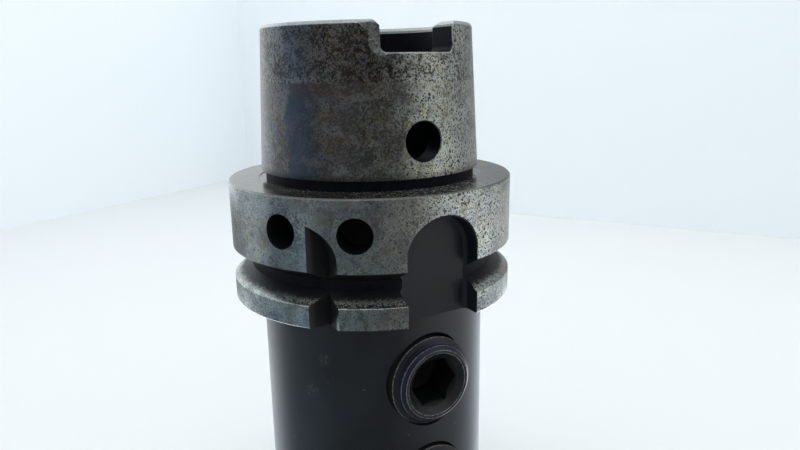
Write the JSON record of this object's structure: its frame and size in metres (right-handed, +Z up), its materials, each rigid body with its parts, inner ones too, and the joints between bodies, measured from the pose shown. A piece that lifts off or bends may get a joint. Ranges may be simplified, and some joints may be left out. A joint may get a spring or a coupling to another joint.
{
  "type": "endmill holder",
  "caption": "Side-lock end mill holder: hollow taper shank with drive slots, grooved and keyed flange, round body with radial clamp screws.",
  "frame": {"origin": "centre of the flange's contact face, where the shank's axis crosses it", "axes": "+Z up the taper shank, towards the spindle; -Y towards the near keyway and the clamp screws; +X completes the right-handed frame"},
  "size_m": [0.063, 0.063, 0.1237],
  "materials": {
    "blackened_steel": "black oxide on the body, bare ground steel with stains and pits on the shank and flange",
    "screw_steel": "black oxide, worn bright on the edges"
  },
  "bodies": {
    "holder": {"holder_body": "blackened_steel"},
    "upper_screw": {"upper_clamp_screw": "screw_steel"},
    "lower_screw": {"lower_clamp_screw": "screw_steel"}
  },
  "joints": [
    {"name": "upper_screw_travel", "type": "slide", "parent": "holder", "child": "upper_screw", "axis": [0, 1, 0], "range_m": [-0.006, 0.006]},
    {"name": "lower_screw_travel", "type": "slide", "parent": "holder", "child": "lower_screw", "axis": [0, 1, 0], "range_m": [-0.006, 0.006]}
  ]
}
